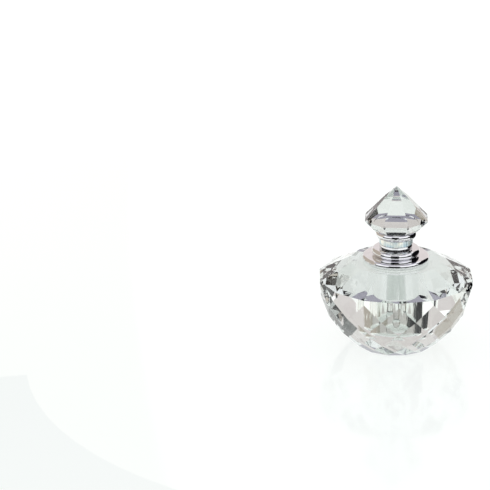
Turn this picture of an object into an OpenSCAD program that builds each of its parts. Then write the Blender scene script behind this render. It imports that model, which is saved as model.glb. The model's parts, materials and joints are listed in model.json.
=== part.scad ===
// Cut-crystal perfume bottle: a faceted bowl with a drilled well, a chromed neck collar, and a screw stopper
// that carries a diamond-shaped crystal finial above and a glass dauber below.
// Millimetres, +Z up. The origin is the middle of the flat base. The front of the bottle faces -Y.

/* [Crystal body] */
// Radius of the girdle, the widest rim, to its corners
girdle_r = 31.3; // [30:0.1:34]
// Height of the girdle above the base
girdle_z = 28.5; // [27:0.5:32]
// Number of facets in each row round the crystal
facet_count = 14; // [12:1:16]
// Angle of the first facet corner from the front
crystal_turn = 3; // [0:1:25]
// Height of the short upright edges under the girdle
rim_drop = 2.0; // [1.5:0.1:3]
// How much the rows of lozenges shorten towards the base
row_taper = 0.38; // [0.3:0.01:0.45]
// Height of the flat table above the girdle
crown_h = 6.8; // [6:0.1:7.5]
// Radius of the flat table to its corners
table_r = 18.4; // [16:0.1:20]
// Radius of the drilled well
well_r = 8.5; // [8.5:0.1:9]
// Height of the well's floor above the base
well_floor_z = 11.5; // [9:0.5:12]
// Radius of the rounding round the well's floor
well_round = 1.8; // [1:0.1:2.5]

/* [Neck collar] */
// Radius of the flange that covers the joint with the crystal
flange_r = 13.4; // [12.5:0.1:14]
// Thickness of the flange
flange_t = 2.3; // [2:0.1:2.4]
// Radius of the rounded ring above the flange
bead_r = 9.65; // [9.4:0.05:9.8]
// Height of the rounded ring
bead_h = 2.95; // [2.8:0.05:3.1]
// Radius of the pouring bore through the neck
neck_bore_r = 3.8; // [3.6:0.1:3.9]
// Radius at the bottom of the neck's thread
neck_root_r = 4.65; // [4.6:0.05:4.7]
// Height of the threaded neck above the rounded ring
neck_h = 4.4; // [4.2:0.1:4.5]

/* [Screw stopper] */
// Rise of the stopper in one turn
thread_pitch = 1.5; // [1.2:0.1:1.6]
// Radial height of a thread ridge
thread_depth = 0.3; // [0.2:0.05:0.3]
// Radial clearance between the crests of the two threads
crest_gap = 0.08; // [0.05:0.01:0.1]
// Radius of the cap's lip and grip band
cap_r = 6.7; // [6.65:0.05:6.9]
// Height of the cap's lower lip
lip_h = 1.2; // [1:0.1:1.3]
// Height of the fluted grip band
band_h = 2.2; // [2:0.1:2.4]
// Number of flutes round the grip band
flute_count = 36; // [24:2:44]
// Radius of the flared cup under the finial
cup_r = 8.2; // [8:0.05:8.3]
// Height of the flared cup
cup_h = 3.35; // [3.2:0.05:3.5]

/* [Finial] */
// Number of facets round the finial
finial_facets = 8; // [6:1:12]
// Radius of the finial's widest rim, to its corners
finial_r = 13.4; // [12.5:0.1:14]
// Radius of the finial's flat underside, to its corners
finial_foot_r = 8.9; // [8.7:0.1:9.2]
// Height of the finial below its widest rim
finial_low_h = 4.7; // [4.2:0.1:5.2]
// Height of the finial above its widest rim
finial_top_h = 13.3; // [12.5:0.1:14]

/* [Dauber] */
// Radius of the glass rod
rod_r = 1.9; // [1.7:0.05:2]
// Radius of the rod's ball tip
rod_tip_r = 2.4; // [2.2:0.05:2.5]
// Gap between the ball tip and the well's floor
rod_tip_gap = 1.0; // [0.8:0.1:4]

/* [Hidden] */

// Round parts are drawn fine, because they show as mirrors
$fn = 96;
// Overlap that keeps cut-outs clear of the faces they cut
over = 1;
// Clearance between two round pieces that sit one in the other
slip = 0.05;

// Crystal body
table_z = girdle_z + crown_h;
// Rows of lozenges between the upright rim edges and the base
row_count = 5;
last_row = row_count + 1;
// The rim edges lean in by this much
rim_lean = 0.1;
well_chamfer = 0.3;

// Neck collar, from the table up
bond_t = 0.15;
// Clearance of an adhesive film from the parts on each side of it
film_slip = 0.02;
// How far the film under the flange stops short of its edge
film_inset = 0.6;
spigot_r = well_r - 0.1;
spigot_len = 3;
flange_z = table_z + bond_t;
flange_bore_r = 8.1;
bead_z = flange_z + flange_t;
bead_bore_r = 6.3;
neck_z = bead_z + bead_h;
neck_top_z = neck_z + neck_h;
neck_crest_r = neck_root_r + thread_depth;

// Stopper, from the cap's lower edge up
cap_z = neck_z + 0.6;
lip_round = 0.3;
band_z = cap_z + lip_h;
cup_z = band_z + band_h + 0.1;
band_seat_r = cap_r - 0.45;
shell_bore_r = band_seat_r - 0.42;
gasket_t = 0.6;
gasket_z = neck_top_z + slip;
holder_z = gasket_z + gasket_t + slip;
holder_t = 0.35;
shell_top_z = holder_z + holder_t + slip;
shell_t = 0.6;
liner_z = cap_z + 0.3;
liner_r = shell_bore_r - slip;
liner_crest_r = neck_crest_r + crest_gap;
liner_root_r = liner_crest_r + 0.22;
cup_top_z = cup_z + cup_h;
cup_waist_r = cup_r - 1.15;
cup_floor_z = shell_top_z + shell_t + 0.8;
cup_dish_r = cup_r - 1.4;
foot_r = cup_dish_r - 0.2;
bond_disc_t = 0.3;
foot_z = cup_floor_z + bond_disc_t;

// Finial
finial_z = cup_top_z + slip;
finial_rim_z = finial_z + finial_low_h;
// Breaks in the finial's crown: [share of its radius, share of its height above the rim]
finial_break = [0.75, 0.26];
finial_star = [0.35, 0.69];

// Dauber
socket_r = rod_r + 0.02;
boss_r = socket_r + 0.8;
boss_len = 5;
rod_top_z = holder_z - 0.8;
tip_z = well_floor_z + rod_tip_gap + rod_tip_r;

// Threads
thread_steps = 36;
thread_bite = 0.1;
neck_thread_z = neck_z + 0.9;
neck_thread_turns = 2;
liner_thread_z = liner_z + 0.5;
liner_thread_turns = 1.9;
thread_root_w = 0.8;
thread_crest_w = 0.35;
// Share of a turn over which a thread fades in and out
thread_fade = 0.2;

crystal = "gainsboro";
chrome = "silver";
plastic = "whitesmoke";
clear_glue = "lightcyan";

// Points on an arc in the profile plane, from angle a to angle b
function arc(centre, r, a, b, steps = 10) =
    [for (i = [0:steps]) centre + r * [cos(a + (b - a) * i / steps), sin(a + (b - a) * i / steps)]];

// Corners of one level of facets: count points at radius r and height z, with angles measured from the front
function corner_ring(count, r, z, turn) =
    [for (i = [0:count - 1]) [r * sin(turn + i * 360 / count), -r * cos(turn + i * 360 / count), z]];

// Level k of the bowl's facet corners: 0 is the girdle, 1 the foot of the rim edges, last_row the base
function row_part(k) = (k - 1) / row_count;
function row_share(k) = row_part(k) * (1 + row_taper * (1 - row_part(k)));
function row_z(k) = k == 0 ? girdle_z : (girdle_z - rim_drop) * (1 - row_share(k));

// From level 2 down, every other level is turned by half a facet
function half_turned(k) = k > 1 && k % 2 == 0;

// Radius of level k, so that each lozenge is flat: its two side corners lie on the line from its top corner
// to its bottom one
flat_share = cos(180 / facet_count);
function row_r(k) =
    k == 0 ? girdle_r :
    k == 1 ? girdle_r - rim_lean :
    k == 2 ? flat_share * (row_r(0) + (row_r(1) - row_r(0)) * row_step(2)) :
    row_r(k - 2) + (row_r(k - 1) * flat_share - row_r(k - 2)) * row_step(k);
function row_step(k) = (row_z(k) - row_z(k - 2)) / (row_z(k - 1) - row_z(k - 2));

module crystal_blank() {
    n = facet_count;
    half = 180 / n;
    points = concat(
        corner_ring(n, table_r, table_z, crystal_turn),
        [for (k = [0:last_row])
            each corner_ring(n, row_r(k), row_z(k), crystal_turn + (half_turned(k) ? half : 0))]);
    // Index of corner i of level k in the list of points
    function at(k, i) = (k + 1) * n + (i + n) % n;
    // Corner of the level below that lies to the right of corner i of level k
    function right(k, i) = i + (half_turned(k) ? 1 : 0);
    table = [[for (i = [n - 1:-1:0]) i]];
    crown = [for (i = [0:n - 1]) [i, (i + 1) % n, at(0, i + 1), at(0, i)]];
    rim = [for (i = [0:n - 1]) [at(0, i), at(0, i + 1), at(1, i + 1), at(2, i), at(1, i)]];
    lozenges = [for (k = [1:last_row - 2]) for (i = [0:n - 1])
        [at(k, i), at(k + 1, right(k, i)), at(k + 2, i), at(k + 1, right(k, i) - 1)]];
    foot = [for (i = [0:n - 1])
        [at(row_count, i), at(last_row, right(row_count, i)), at(last_row, right(row_count, i) - 1)]];
    base = [[for (i = [0:n - 1]) at(last_row, i)]];
    polyhedron(points = points, faces = concat(table, crown, rim, lozenges, foot, base));
}

module crystal_body() {
    color(crystal)
        difference() {
            crystal_blank();
            rotate_extrude()
                polygon(concat(
                    [[0, well_floor_z]],
                    arc([well_r - well_round, well_floor_z + well_round], well_round, -90, 0),
                    [[well_r, table_z - well_chamfer],
                     [well_r + well_chamfer, table_z],
                     [well_r + well_chamfer, table_z + over],
                     [0, table_z + over]]));
        }
}

// Film of adhesive under the flange and round the spigot
module collar_bond() {
    film_in = spigot_r + film_slip;
    film_out = well_r - film_slip;
    film_foot_z = table_z - spigot_len + 0.3;
    film_edge_r = flange_r - film_inset;
    color(clear_glue)
        rotate_extrude()
            polygon([[film_in, film_foot_z],
                     [film_out, film_foot_z],
                     [film_out, table_z],
                     [film_edge_r, table_z],
                     [film_edge_r, flange_z],
                     [film_in, flange_z]]);
}

// Flat ring with a full rounded edge and a top that rises slightly towards the middle
module flange_ring() {
    edge_r = 0.6 * flange_t;
    edge_low = 40;
    edge_high = 65;
    color(chrome)
        rotate_extrude()
            polygon(concat(
                [[flange_bore_r, flange_z]],
                arc([flange_r - edge_r, flange_z + edge_r * sin(edge_low)],
                    edge_r, -edge_low, edge_high, 20),
                [[bead_r, bead_z], [flange_bore_r, bead_z]]));
}

// Ring with a half-round outside
module bead_ring() {
    bulge_r = bead_h / 2;
    color(chrome)
        rotate_extrude()
            polygon(concat(
                [[bead_bore_r, bead_z]],
                arc([bead_r - bulge_r, bead_z + bulge_r], bulge_r, -90, 90, 24),
                [[bead_bore_r, neck_z]]));
}

// Cross-section of a thread ridge at angle a, which stands from radius root_r to radius crest_r
function ridge_section(root_r, crest_r, z, a) =
    [for (p = [[root_r, -thread_root_w / 2], [crest_r, -thread_crest_w / 2],
               [crest_r, thread_crest_w / 2], [root_r, thread_root_w / 2]])
        [p[0] * cos(a), p[0] * sin(a), z + p[1]]];

// Right-hand thread ridge of the given number of turns, which fades in and out at its ends
module thread_ridge(root_r, crest_r, z, turns) {
    last = round(turns * thread_steps);
    corners = 4;
    function faded(i) = min(1, i / (thread_fade * thread_steps), (last - i) / (thread_fade * thread_steps));
    function height_share(i) = 0.15 + 0.85 * faded(i);
    points = [for (i = [0:last])
        each ridge_section(root_r, root_r + (crest_r - root_r) * height_share(i),
                           z + thread_pitch * i / thread_steps, 360 * i / thread_steps)];
    // A ridge that points inwards has its faces the other way round
    outward = crest_r > root_r;
    function wound(face) = outward ? face : [for (j = [len(face) - 1:-1:0]) face[j]];
    sides = [for (i = [0:last - 1]) for (j = [0:corners - 1])
        wound([i * corners + j, i * corners + (j + 1) % corners,
               (i + 1) * corners + (j + 1) % corners, (i + 1) * corners + j])];
    first_end = [wound([for (j = [corners - 1:-1:0]) j])];
    last_end = [wound([for (j = [0:corners - 1]) last * corners + j])];
    polyhedron(points = points, faces = concat(sides, first_end, last_end));
}

module neck_sleeve() {
    flange_seat_r = flange_bore_r - slip;
    bead_seat_r = bead_bore_r - slip;
    top_chamfer = 0.2;
    color(chrome)
        union() {
            rotate_extrude()
                polygon([[neck_bore_r, table_z - spigot_len],
                         [spigot_r, table_z - spigot_len],
                         [spigot_r, flange_z],
                         [flange_seat_r, flange_z],
                         [flange_seat_r, bead_z],
                         [bead_seat_r, bead_z],
                         [bead_seat_r, neck_z],
                         [neck_root_r, neck_z],
                         [neck_root_r, neck_top_z - top_chamfer],
                         [neck_root_r - top_chamfer, neck_top_z],
                         [neck_bore_r, neck_top_z]]);
            thread_ridge(neck_root_r - thread_bite, neck_crest_r, neck_thread_z, neck_thread_turns);
        }
}

module neck_gasket() {
    gasket_bore_r = boss_r + 0.3;
    color("white")
        difference() {
            translate([0, 0, gasket_z])
                cylinder(h = gasket_t, r = neck_crest_r - slip);
            translate([0, 0, gasket_z - over])
                cylinder(h = gasket_t + 2 * over, r = gasket_bore_r);
        }
}

module dauber_holder() {
    color(plastic)
        difference() {
            union() {
                translate([0, 0, holder_z])
                    cylinder(h = holder_t, r = liner_root_r - 0.1);
                translate([0, 0, holder_z - boss_len])
                    cylinder(h = boss_len + over / 10, r = boss_r);
            }
            translate([0, 0, holder_z - boss_len - over])
                cylinder(h = rod_top_z - holder_z + boss_len + over, r = socket_r);
        }
}

// Glass rod with a ball tip and a slightly waisted end
module dauber_rod() {
    waist_r = rod_r - 0.2;
    waist_len = 2 * rod_tip_r;
    end_chamfer = 0.3;
    neck_angle = asin(waist_r / rod_tip_r);
    color(crystal)
        rotate_extrude()
            polygon(concat(
                arc([0, tip_z], rod_tip_r, -90, 90 - neck_angle, 24),
                [[rod_r, tip_z + rod_tip_r + waist_len],
                 [rod_r, rod_top_z - end_chamfer],
                 [rod_r - end_chamfer, rod_top_z],
                 [0, rod_top_z]]));
}

module thread_liner() {
    color(plastic)
        union() {
            difference() {
                translate([0, 0, liner_z])
                    cylinder(h = shell_top_z - slip - liner_z, r = liner_r);
                translate([0, 0, liner_z - over])
                    cylinder(h = shell_top_z - liner_z + 2 * over, r = liner_root_r);
            }
            thread_ridge(liner_root_r + thread_bite, liner_crest_r, liner_thread_z, liner_thread_turns);
        }
}

module cap_shell() {
    color(chrome)
        rotate_extrude()
            polygon(concat(
                [[shell_bore_r, cap_z]],
                arc([cap_r - lip_round, cap_z + lip_round], lip_round, -90, 0),
                arc([cap_r - lip_round, band_z - lip_round], lip_round, 0, 90),
                [[band_seat_r, band_z],
                 [band_seat_r, shell_top_z + shell_t],
                 [0, shell_top_z + shell_t],
                 [0, shell_top_z],
                 [shell_bore_r, shell_top_z]]));
}

// Ring with upright rounded reeds all round
module grip_band() {
    reed_depth = 0.22;
    steps = 6;
    // Radius of the outline at position i, where u runs from -1 to 1 across each reed
    function reed_u(i) = 2 * (i % steps) / steps - 1;
    function outline_r(i) = cap_r - reed_depth * (1 - sqrt(1 - pow(reed_u(i), 2)));
    outline = [for (i = [0:flute_count * steps - 1])
        outline_r(i) * [cos(360 * i / (flute_count * steps)), sin(360 * i / (flute_count * steps))]];
    color(chrome)
        difference() {
            translate([0, 0, band_z + slip])
                linear_extrude(height = band_h)
                    polygon(outline);
            translate([0, 0, band_z - over])
                cylinder(h = band_h + 2 * over, r = band_seat_r + 0.02);
        }
}

// Cup with a barrel-shaped outside and a shallow dish for the finial
module finial_cup() {
    bulge_r = cup_h / 2;
    lip_w = 0.4;
    lip_drop = 0.1;
    color(chrome)
        rotate_extrude()
            polygon(concat(
                [[0, shell_top_z + shell_t + slip],
                 [band_seat_r + slip, shell_top_z + shell_t + slip],
                 [band_seat_r + slip, cup_z],
                 [cup_waist_r, cup_z]],
                arc([cup_r - bulge_r, cup_z + bulge_r], bulge_r, -65, 60, 20),
                [[cup_dish_r + lip_w, cup_top_z],
                 [cup_dish_r, cup_top_z - lip_drop],
                 [cup_dish_r, cup_floor_z],
                 [0, cup_floor_z]]));
}

module finial_bond() {
    color(clear_glue)
        translate([0, 0, cup_floor_z])
            cylinder(h = bond_disc_t, r = foot_r);
}

// Levels of facet corners joined by flat sides, closed by a point at the top and a flat foot
module faceted_point(count, levels, tip_z, turn) {
    top = len(levels) - 1;
    points = concat(
        [for (level = levels) each corner_ring(count, level[0], level[1], turn)],
        [[0, 0, tip_z]]);
    function at(k, i) = k * count + i % count;
    sides = [for (k = [0:top - 1]) for (i = [0:count - 1])
        [at(k + 1, i), at(k + 1, i + 1), at(k, i + 1), at(k, i)]];
    star = [for (i = [0:count - 1]) [count * (top + 1), at(top, i + 1), at(top, i)]];
    foot = [[for (i = [0:count - 1]) i]];
    polyhedron(points = points, faces = concat(sides, star, foot));
}

module finial() {
    color(crystal)
        union() {
            faceted_point(finial_facets,
                          [[finial_foot_r, finial_z],
                           [finial_r, finial_rim_z],
                           [finial_r * finial_break[0], finial_rim_z + finial_top_h * finial_break[1]],
                           [finial_r * finial_star[0], finial_rim_z + finial_top_h * finial_star[1]]],
                          finial_rim_z + finial_top_h, 180 / finial_facets);
            translate([0, 0, foot_z])
                cylinder(h = finial_z - foot_z + over / 2, r = foot_r);
        }
}

crystal_body();
collar_bond();
flange_ring();
bead_ring();
neck_sleeve();
neck_gasket();
dauber_holder();
dauber_rod();
thread_liner();
cap_shell();
grip_band();
finial_cup();
finial_bond();
finial();
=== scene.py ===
import bmesh
import bpy
import json
import math
from mathutils import Matrix, Quaternion, Vector


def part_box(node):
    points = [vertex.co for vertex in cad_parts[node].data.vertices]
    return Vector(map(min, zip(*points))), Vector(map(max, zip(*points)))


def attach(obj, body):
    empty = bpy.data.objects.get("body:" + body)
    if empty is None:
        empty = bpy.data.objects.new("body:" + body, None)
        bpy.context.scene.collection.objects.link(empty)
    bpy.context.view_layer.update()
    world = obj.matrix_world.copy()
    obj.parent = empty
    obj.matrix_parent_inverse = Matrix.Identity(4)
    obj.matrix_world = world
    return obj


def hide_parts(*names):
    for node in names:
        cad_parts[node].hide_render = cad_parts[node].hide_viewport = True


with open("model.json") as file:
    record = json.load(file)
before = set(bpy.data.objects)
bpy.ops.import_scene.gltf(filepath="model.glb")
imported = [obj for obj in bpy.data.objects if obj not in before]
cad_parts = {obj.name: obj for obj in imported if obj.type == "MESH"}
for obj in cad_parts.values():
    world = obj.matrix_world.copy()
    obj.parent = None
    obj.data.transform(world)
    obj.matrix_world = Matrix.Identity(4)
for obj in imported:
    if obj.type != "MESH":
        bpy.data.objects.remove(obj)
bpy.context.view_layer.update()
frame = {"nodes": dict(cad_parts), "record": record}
NODES = frame["nodes"]
MM = 0.001


# ---------- node helpers ----------

def new_material(name):
    """A node material with one Principled shader: the material, its tree and the shader."""
    mat = bpy.data.materials.new(name)
    mat.use_nodes = True
    tree = mat.node_tree
    tree.nodes.clear()
    out = tree.nodes.new("ShaderNodeOutputMaterial")
    shader = tree.nodes.new("ShaderNodeBsdfPrincipled")
    tree.links.new(shader.outputs["BSDF"], out.inputs["Surface"])
    return mat, tree, shader


def noise(tree, scale, detail=4.0, stretch=(1.0, 1.0, 1.0)):
    """Noise in object space, with scale in features per metre, times stretch on each axis."""
    coords = tree.nodes.new("ShaderNodeTexCoord")
    mapping = tree.nodes.new("ShaderNodeMapping")
    mapping.inputs["Scale"].default_value = stretch
    texture = tree.nodes.new("ShaderNodeTexNoise")
    texture.inputs["Scale"].default_value = scale
    texture.inputs["Detail"].default_value = detail
    tree.links.new(coords.outputs["Object"], mapping.inputs["Vector"])
    tree.links.new(mapping.outputs["Vector"], texture.inputs["Vector"])
    return texture.outputs["Fac"]


def ramp(tree, value, low, high, start=0.3, end=0.7):
    """Colours from low to high as value goes from start to end."""
    node = tree.nodes.new("ShaderNodeValToRGB")
    node.color_ramp.elements[0].position = start
    node.color_ramp.elements[0].color = (*low, 1.0)
    node.color_ramp.elements[1].position = end
    node.color_ramp.elements[1].color = (*high, 1.0)
    tree.links.new(value, node.inputs["Fac"])
    return node.outputs["Color"]


def span(tree, value, low, high, start=0.3, end=0.7):
    """A number from low to high as value goes from start to end."""
    node = tree.nodes.new("ShaderNodeMapRange")
    node.inputs["From Min"].default_value = start
    node.inputs["From Max"].default_value = end
    node.inputs["To Min"].default_value = low
    node.inputs["To Max"].default_value = high
    tree.links.new(value, node.inputs["Value"])
    return node.outputs["Result"]


def bump(tree, shader, value, depth):
    """Relief on the shader's normal, with depth in metres."""
    node = tree.nodes.new("ShaderNodeBump")
    node.inputs["Strength"].default_value = 1.0
    node.inputs["Distance"].default_value = depth
    tree.links.new(value, node.inputs["Height"])
    tree.links.new(node.outputs["Normal"], shader.inputs["Normal"])


# ---------- materials ----------

def glass(name, tint_low, tint_high, ior, rough=(0.0, 0.012)):
    """Clear glass, whose tint and polish vary a little over its surface."""
    mat, tree, shader = new_material(name)
    shader.inputs["Transmission Weight"].default_value = 1.0
    shader.inputs["IOR"].default_value = ior
    clouds = noise(tree, 60.0, 3.0)
    tree.links.new(ramp(tree, clouds, tint_low, tint_high), shader.inputs["Base Color"])
    fine = noise(tree, 900.0, 2.0)
    tree.links.new(span(tree, fine, rough[0], rough[1]), shader.inputs["Roughness"])
    return mat


def chrome(name, low, high, rough=(0.02, 0.07)):
    """Plated metal, with the faint rings of turning in its polish."""
    mat, tree, shader = new_material(name)
    shader.inputs["Metallic"].default_value = 1.0
    clouds = noise(tree, 300.0, 3.0)
    tree.links.new(ramp(tree, clouds, low, high), shader.inputs["Base Color"])
    turned = noise(tree, 300.0, 4.0, (1.0, 1.0, 14.0))
    tree.links.new(span(tree, turned, rough[0], rough[1]), shader.inputs["Roughness"])
    return mat


def plastic(name, low, high, rough):
    """Moulded plastic or rubber with a fine texture."""
    mat, tree, shader = new_material(name)
    clouds = noise(tree, 500.0, 4.0)
    tree.links.new(ramp(tree, clouds, low, high), shader.inputs["Base Color"])
    tree.links.new(span(tree, clouds, rough[0], rough[1]), shader.inputs["Roughness"])
    bump(tree, shader, noise(tree, 4000.0, 2.0), 0.01 * MM)
    return mat


# Each material's lowest and highest colour
CRYSTAL_TINTS = ((0.76, 0.80, 0.775), (0.82, 0.85, 0.83))
PLATING_TINTS = ((0.86, 0.86, 0.87), (0.93, 0.93, 0.94))
CRYSTAL_IOR = 1.54
ROD_IOR = 1.50
ADHESIVE_IOR = 1.49

CRYSTAL = glass("body_crystal", *CRYSTAL_TINTS, CRYSTAL_IOR)
FINIAL = glass("finial_crystal", *CRYSTAL_TINTS, CRYSTAL_IOR)
ROD = glass("rod_glass", (0.98, 0.99, 0.985), (1.0, 1.0, 1.0), ROD_IOR)
ADHESIVE = glass("clear_adhesive", (0.97, 0.98, 0.98), (1.0, 1.0, 1.0), ADHESIVE_IOR)
CHROME = chrome("collar_chrome", *PLATING_TINTS)
CAP_CHROME = chrome("cap_chrome", *PLATING_TINTS)
# The grip band's base colour wanders in patches between a dark blue and a warm cream: painted
# coloured glints, not the plating's own colour
BAND_CHROME_PAINTED_GLINTS = chrome("band_chrome", (0.40, 0.54, 0.62), (0.95, 0.91, 0.80), (0.05, 0.12))
NECK_METAL = chrome("neck_metal", (0.82, 0.83, 0.84), (0.9, 0.9, 0.91), (0.05, 0.12))
FOIL = chrome("silvered_adhesive", (0.74, 0.72, 0.80), (0.84, 0.82, 0.88), (0.18, 0.3))
PLASTIC = plastic("insert_plastic", (0.82, 0.82, 0.80), (0.9, 0.9, 0.88), (0.35, 0.5))
GASKET = plastic("gasket", (0.80, 0.80, 0.78), (0.9, 0.9, 0.88), (0.6, 0.8))

FINISH = {
    "body_crystal": CRYSTAL, "finial_crystal": FINIAL, "rod_glass": ROD,
    "clear_adhesive": ADHESIVE, "collar_chrome": CHROME, "cap_chrome": CAP_CHROME,
    "band_chrome": BAND_CHROME_PAINTED_GLINTS, "neck_metal": NECK_METAL, "insert_plastic": PLASTIC,
    "gasket": GASKET,
}
for part in frame["record"]["subparts"]:
    mesh = NODES[part["node"]].data
    for slot in range(len(mesh.materials)):
        mesh.materials[slot] = FINISH[part["material_slot"]]


# ---------- pieces ----------

def foil_disc():
    """Silvered glue under the finial, thinner than its gap so that no two faces lie together."""
    low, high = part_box("finial_bond")
    gap = 0.02 * MM
    radius = (high.x - low.x) / 2
    bm = bmesh.new()
    bmesh.ops.create_cone(bm, cap_ends=True, segments=96, radius1=radius, radius2=radius,
                          depth=high.z - low.z - 2 * gap,
                          matrix=Matrix.Translation((0.0, 0.0, (low.z + high.z) / 2)))
    mesh = bpy.data.meshes.new("finial_foil")
    bm.to_mesh(mesh)
    bm.free()
    disc = bpy.data.objects.new("finial_foil", mesh)
    bpy.context.scene.collection.objects.link(disc)
    mesh.materials.append(FOIL)
    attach(disc, "stopper")
    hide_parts("finial_bond")


foil_disc()


# ---------- studio ----------

# The floor lies this far under the base, so that the two faces don't lie together
FLOOR_GAP = 0.4 * MM
FLOOR_HALF = 6.0
# The flat cards lie this far above the base's level
CARD_LIFT = 0.6 * MM
# The curved cards have their centre this high, at about the middle of the bottle
CARD_CENTRE_Z = 35 * MM
# Steps of the cards' curves, in degrees of azimuth and of elevation
SECTOR_STEP = 5
SCREEN_STEP = 4
SCREEN_RISE_STEP = 6


def floor():
    """A glossy light table: it glows evenly and mirrors what stands on it."""
    mesh = bpy.data.meshes.new("floor")
    s = FLOOR_HALF
    mesh.from_pydata([(-s, -s, 0), (s, -s, 0), (s, s, 0), (-s, s, 0)], [], [(0, 1, 2, 3)])
    ground = bpy.data.objects.new("floor", mesh)
    bpy.context.scene.collection.objects.link(ground)
    ground.location.z = -FLOOR_GAP
    mat, tree, shader = new_material("floor_gloss")
    clouds = noise(tree, 2.0, 2.0)
    pale = ramp(tree, clouds, (0.14, 0.145, 0.14), (0.16, 0.165, 0.16))
    tree.links.new(pale, shader.inputs["Base Color"])
    tree.links.new(span(tree, noise(tree, 40.0), 0.08, 0.12), shader.inputs["Roughness"])
    shader.inputs["Emission Color"].default_value = (0.97, 1.0, 0.985, 1.0)
    shader.inputs["Emission Strength"].default_value = 0.80
    mesh.materials.append(mat)


def sector(name, first, last, near, far, color):
    """A card that lies on the table, between two azimuths and two distances.

    Azimuths are in degrees from the front, and positive to the right.
    """
    steps = max(2, int((last - first) / SECTOR_STEP))
    verts = []
    for i in range(steps + 1):
        a = math.radians(first + (last - first) * i / steps)
        for r in (near, far):
            verts.append((r * math.sin(a), -r * math.cos(a), CARD_LIFT))
    faces = [(2 * i, 2 * i + 1, 2 * i + 3, 2 * i + 2) for i in range(steps)]
    card(name, verts, faces, color)


def screen(name, first, last, low, high, color, distance=1.0):
    """A curved card that stands round the bottle, between two azimuths and two elevations."""
    steps = max(2, int((last - first) / SCREEN_STEP))
    rise = max(1, int((high - low) / SCREEN_RISE_STEP))
    verts = []
    for i in range(steps + 1):
        a = math.radians(first + (last - first) * i / steps)
        for j in range(rise + 1):
            e = math.radians(low + (high - low) * j / rise)
            verts.append((distance * math.cos(e) * math.sin(a),
                          -distance * math.cos(e) * math.cos(a),
                          CARD_CENTRE_Z + distance * math.sin(e)))
    row = rise + 1
    faces = [(i * row + j, (i + 1) * row + j, (i + 1) * row + j + 1, i * row + j + 1)
             for i in range(steps) for j in range(rise)]
    card(name, verts, faces, color)


def card(name, verts, faces, color):
    """A one-colour card: it shows in the glass, the chrome and the floor's gloss, not directly."""
    mesh = bpy.data.meshes.new(name)
    mesh.from_pydata(verts, [], faces)
    obj = bpy.data.objects.new(name, mesh)
    bpy.context.scene.collection.objects.link(obj)
    mat = bpy.data.materials.new(name)
    mat.use_nodes = True
    tree = mat.node_tree
    tree.nodes.clear()
    out = tree.nodes.new("ShaderNodeOutputMaterial")
    emit = tree.nodes.new("ShaderNodeEmission")
    emit.inputs["Color"].default_value = (*color, 1.0)
    emit.inputs["Strength"].default_value = 1.0
    tree.links.new(emit.outputs["Emission"], out.inputs["Surface"])
    mesh.materials.append(mat)
    obj.visible_camera = False
    obj.visible_diffuse = False
    obj.visible_shadow = False


def studio_world():
    """Even white light from all round."""
    world = bpy.data.worlds.new("studio")
    bpy.context.scene.world = world
    world.use_nodes = True
    background = world.node_tree.nodes["Background"]
    background.inputs["Color"].default_value = (0.96, 0.97, 1.0, 1.0)
    background.inputs["Strength"].default_value = 1.1


floor()
studio_world()

BLACK = (0.004, 0.004, 0.005)
LILAC = (0.42, 0.40, 0.48)
WARM = (0.50, 0.44, 0.38)
PALE_PINK = (0.80, 0.74, 0.73)
PALE_PINK_FOOT = (0.82, 0.75, 0.75)
# Dark room in front: a flat card on the table and a low one that stands behind it
sector("table_edge_front", -75, 85, 0.15, 1.5, BLACK)
screen("gap_front", -75, 85, -3, 13, BLACK)
# The photographer and the camera, standing and mirrored in the table
screen("photographer", -24, 16, -3, 38, BLACK, 0.95)
sector("photographer_floor", -9, 5, 0.13, 0.20, BLACK)
# Dark room at the right
sector("table_edge_right", 85, 143, 0.075, 1.5, BLACK)
screen("room_right", 85, 143, -3, 42, BLACK)
# Warm card close to the left side
screen("warm_left", -150, -76, -8, 50, WARM, 0.30)
# Faintly pink backdrop behind the bottle, and its foot on the table
screen("backdrop", 143, 210, -3, 50, PALE_PINK)
sector("backdrop_foot", 143, 217, 0.30, 1.0, PALE_PINK_FOOT)
# Dim ceiling
screen("ceiling", -180, 180, 52, 89, LILAC, 1.1)

# ---------- camera ----------

SENSOR_MM = 36.0
LENS_MM = 126.9
# The camera's angle above the table and its roll, in degrees
LIFT = 21.0
ROLL = -1.0
# Its distance from the middle of the girdle, in metres
DISTANCE = 0.7
GIRDLE = Vector((0.0, 0.0, 28.5 * MM))
# The camera aims left of the bottle, which stands in the right half of the picture
AIM = Vector((-60.8 * MM, 0.0, 40.4 * MM))

camera_data = bpy.data.cameras.new("camera")
camera_data.sensor_width = SENSOR_MM
camera_data.lens = LENS_MM
camera_data.clip_start = 0.01
camera = bpy.data.objects.new("camera", camera_data)
bpy.context.scene.collection.objects.link(camera)
lift = math.radians(LIFT)
camera.location = GIRDLE + DISTANCE * Vector((0.0, -math.cos(lift), math.sin(lift)))
level = (AIM - camera.location).to_track_quat("-Z", "Y")
camera.rotation_euler = (level @ Quaternion((0.0, 0.0, 1.0), math.radians(ROLL))).to_euler()
bpy.context.scene.camera = camera

scene = bpy.context.scene
scene.view_settings.view_transform = "Standard"
scene.cycles.max_bounces = 24
scene.cycles.transmission_bounces = 24
scene.cycles.glossy_bounces = 12
scene.cycles.sample_clamp_indirect = 6.0

bpy.context.view_layer.update()
